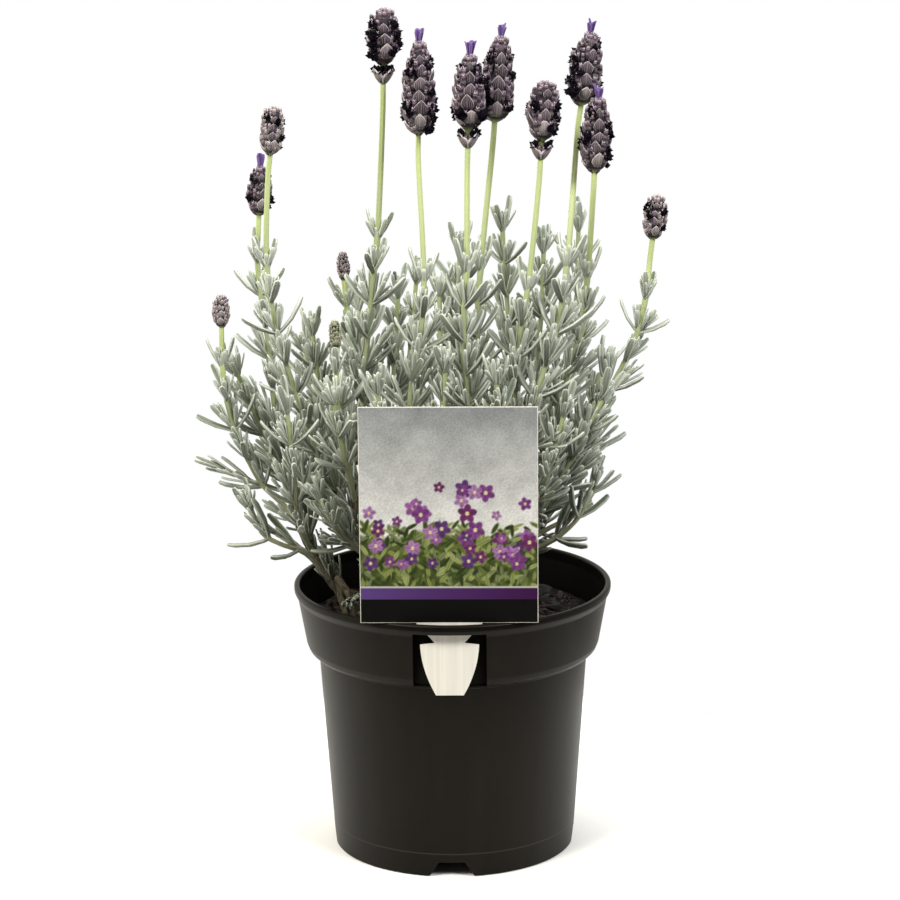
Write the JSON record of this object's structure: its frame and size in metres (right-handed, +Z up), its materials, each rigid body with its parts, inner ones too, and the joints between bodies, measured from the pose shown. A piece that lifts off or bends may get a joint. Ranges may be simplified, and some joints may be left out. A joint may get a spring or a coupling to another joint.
{
  "type": "potted lavender",
  "caption": "French lavender with grey leafy shoots and tall purple-brown flower heads, in a round black nursery pot with a picture label.",
  "frame": {"origin": "middle of the flat foot under the pot, on the pot's axis", "axes": "+Z up along the pot's axis, -Y out through the picture label, +X to the right as the label is read"},
  "size_m": [0.2946, 0.2071, 0.53],
  "materials": {
    "pot_plastic": "satin",
    "potting_mix": "matte",
    "label_card": "gloss",
    "bark": "matte",
    "foliage": "matte",
    "flower": "matte"
  },
  "bodies": {
    "root": {"pot": "pot_plastic", "soil": "potting_mix", "label": "label_card", "woody_base": "bark", "leafy_stem_1": "foliage", "leafy_stem_2": "foliage", "leafy_stem_3": "foliage", "leafy_stem_4": "foliage", "leafy_stem_5": "foliage", "leafy_stem_6": "foliage", "leafy_stem_7": "foliage", "leafy_stem_8": "foliage", "leafy_stem_9": "foliage", "leafy_stem_10": "foliage", "leafy_stem_11": "foliage", "leafy_stem_12": "foliage", "leafy_stem_13": "foliage", "leafy_stem_14": "foliage", "leafy_stem_15": "foliage", "leafy_stem_16": "foliage", "leafy_stem_17": "foliage", "leafy_stem_18": "foliage", "leafy_stem_19": "foliage", "leafy_stem_20": "foliage", "leafy_stem_21": "foliage", "leafy_stem_22": "foliage", "leafy_stem_23": "foliage", "leafy_stem_24": "foliage", "leafy_stem_25": "foliage", "leafy_stem_26": "foliage", "leafy_stem_27": "foliage", "leafy_stem_28": "foliage", "leafy_stem_29": "foliage", "leafy_stem_30": "foliage", "leafy_stem_31": "foliage", "leafy_stem_32": "foliage", "leafy_stem_33": "foliage", "leafy_stem_34": "foliage", "leafy_stem_35": "foliage", "leafy_stem_36": "foliage", "leafy_stem_37": "foliage", "leafy_stem_38": "foliage", "leafy_stem_39": "foliage", "flower_head_1": "flower", "flower_head_2": "flower", "flower_head_3": "flower", "flower_head_4": "flower", "flower_head_5": "flower", "flower_head_6": "flower", "flower_head_7": "flower", "flower_head_8": "flower", "flower_head_9": "flower", "flower_head_10": "flower", "flower_head_11": "flower", "flower_head_12": "flower", "flower_head_13": "flower"}
  },
  "joints": []
}
